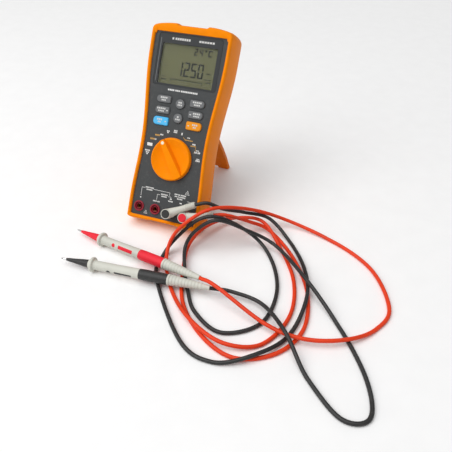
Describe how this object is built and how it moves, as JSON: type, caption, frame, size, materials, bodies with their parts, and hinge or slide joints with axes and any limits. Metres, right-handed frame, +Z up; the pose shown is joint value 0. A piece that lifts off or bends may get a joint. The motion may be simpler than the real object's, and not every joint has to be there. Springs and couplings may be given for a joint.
{
  "type": "digital multimeter",
  "caption": "Handheld digital multimeter in an orange holster, leaning on its open tilt stand, with a rotary switch, keys, input jacks and plugged-in black and red test leads.",
  "frame": {"origin": "on the surface it stands on, at the bottom centre of the meter and its open stand, test leads not counted", "axes": "+Z up, +X to the right along the face's width, -Y towards the side that the face looks to"},
  "size_m": [0.3309, 0.3002, 0.1871],
  "materials": {
    "black_rubber": "matte",
    "board": "solder mask",
    "brass": "plated",
    "case_dark": "fine textured dark grey",
    "cell_wrap": "printed wrap",
    "ceramic": "ceramic tube with metal ends",
    "cream": "matte",
    "holster_rubber": "soft matte orange rubber",
    "ir_plastic": "dark infrared plastic",
    "jack_black": "moulded",
    "jack_red": "moulded",
    "key_blue": "matte silicone",
    "key_grey": "matte silicone",
    "key_orange": "matte silicone",
    "knob_orange": "satin orange",
    "lcd": "grey green",
    "lead_black": "silicone",
    "lead_red": "silicone",
    "lens": "clear window",
    "light_plastic": "clear white",
    "mat_rubber": "silicone",
    "probe_black": "satin",
    "probe_grey": "fine textured grey",
    "probe_metal": "nickel plated",
    "probe_red": "satin",
    "stand_plastic": "matte orange plastic",
    "steel": "plated",
    "white_plastic": "moulded",
    "zebra": "striped elastomer"
  },
  "bodies": {
    "meter": {"holster": "holster_rubber", "front_case": "case_dark", "rear_case": "case_dark", "case_gasket": "black_rubber", "case_screws": "steel", "battery_door": "case_dark", "door_gasket": "black_rubber", "door_screws": "steel", "battery_cells": "cell_wrap", "battery_contacts": "steel", "stand_pins": "steel", "main_board": "board", "lcd_glass": "lcd", "lcd_frame": "light_plastic", "light_guide": "light_plastic", "zebra_strips": "zebra", "display_lens": "lens", "keypad_mat": "mat_rubber", "knob_seal": "black_rubber", "jack_shrouds_red": "jack_red", "jack_shroud_black": "jack_black", "jack_sleeves": "brass", "fuse_main": "ceramic", "fuse_low": "ceramic", "fuse_clips": "brass", "buzzer": "black_rubber", "infrared_window": "ir_plastic", "black_plug_shell": "probe_grey", "black_plug_cap": "probe_black", "black_plug_pin": "probe_metal", "black_lead": "lead_black", "black_probe_tip": "probe_metal", "black_probe_nose": "probe_black", "black_probe_body": "probe_grey", "black_probe_grip": "probe_black", "black_probe_boot": "probe_grey", "red_plug_shell": "probe_grey", "red_plug_cap": "probe_red", "red_plug_pin": "probe_metal", "red_lead": "lead_red", "red_probe_tip": "probe_metal", "red_probe_nose": "probe_red", "red_probe_body": "probe_grey", "red_probe_grip": "probe_red", "red_probe_boot": "probe_grey"},
    "dial": {"knob": "knob_orange", "knob_pointer": "cream", "switch_rotor": "white_plastic", "rotor_contacts": "brass", "detent_plungers": "steel"},
    "stand": {"tilt_stand": "stand_plastic"},
    "key_top_left": {"key_top_left": "key_grey"},
    "key_top_right": {"key_top_right": "key_grey"},
    "key_middle_left": {"key_middle_left": "key_grey"},
    "key_middle_right": {"key_middle_right": "key_grey"},
    "key_blue": {"key_blue": "key_blue"},
    "key_orange": {"key_orange": "key_orange"},
    "key_round_upper": {"key_round_upper": "key_grey"},
    "key_round_lower": {"key_round_lower": "key_grey"}
  },
  "joints": [
    {"name": "knob_turn", "type": "hinge", "parent": "meter", "child": "dial", "pos_m": [0, -0.03534, 0.07068], "axis": [0, -0.848, 0.5299], "range_deg": [-115.5, 49.5]},
    {"name": "stand_fold", "type": "hinge", "parent": "meter", "child": "stand", "pos_m": [0, 0.02162, 0.09334], "axis": [1, 0, 0], "range_deg": [-59.3, 0]},
    {"name": "key_top_left_press", "type": "slide", "parent": "meter", "child": "key_top_left", "axis": [0, 0.848, -0.5299], "range_m": [0, 0.001], "stiffness_N_per_m": 600},
    {"name": "key_top_right_press", "type": "slide", "parent": "meter", "child": "key_top_right", "axis": [0, 0.848, -0.5299], "range_m": [0, 0.001], "stiffness_N_per_m": 600},
    {"name": "key_middle_left_press", "type": "slide", "parent": "meter", "child": "key_middle_left", "axis": [0, 0.848, -0.5299], "range_m": [0, 0.001], "stiffness_N_per_m": 600},
    {"name": "key_middle_right_press", "type": "slide", "parent": "meter", "child": "key_middle_right", "axis": [0, 0.848, -0.5299], "range_m": [0, 0.001], "stiffness_N_per_m": 600},
    {"name": "key_blue_press", "type": "slide", "parent": "meter", "child": "key_blue", "axis": [0, 0.848, -0.5299], "range_m": [0, 0.001], "stiffness_N_per_m": 600},
    {"name": "key_orange_press", "type": "slide", "parent": "meter", "child": "key_orange", "axis": [0, 0.848, -0.5299], "range_m": [0, 0.001], "stiffness_N_per_m": 600},
    {"name": "key_round_upper_press", "type": "slide", "parent": "meter", "child": "key_round_upper", "axis": [0, 0.848, -0.5299], "range_m": [0, 0.001], "stiffness_N_per_m": 600},
    {"name": "key_round_lower_press", "type": "slide", "parent": "meter", "child": "key_round_lower", "axis": [0, 0.848, -0.5299], "range_m": [0, 0.001], "stiffness_N_per_m": 600}
  ]
}
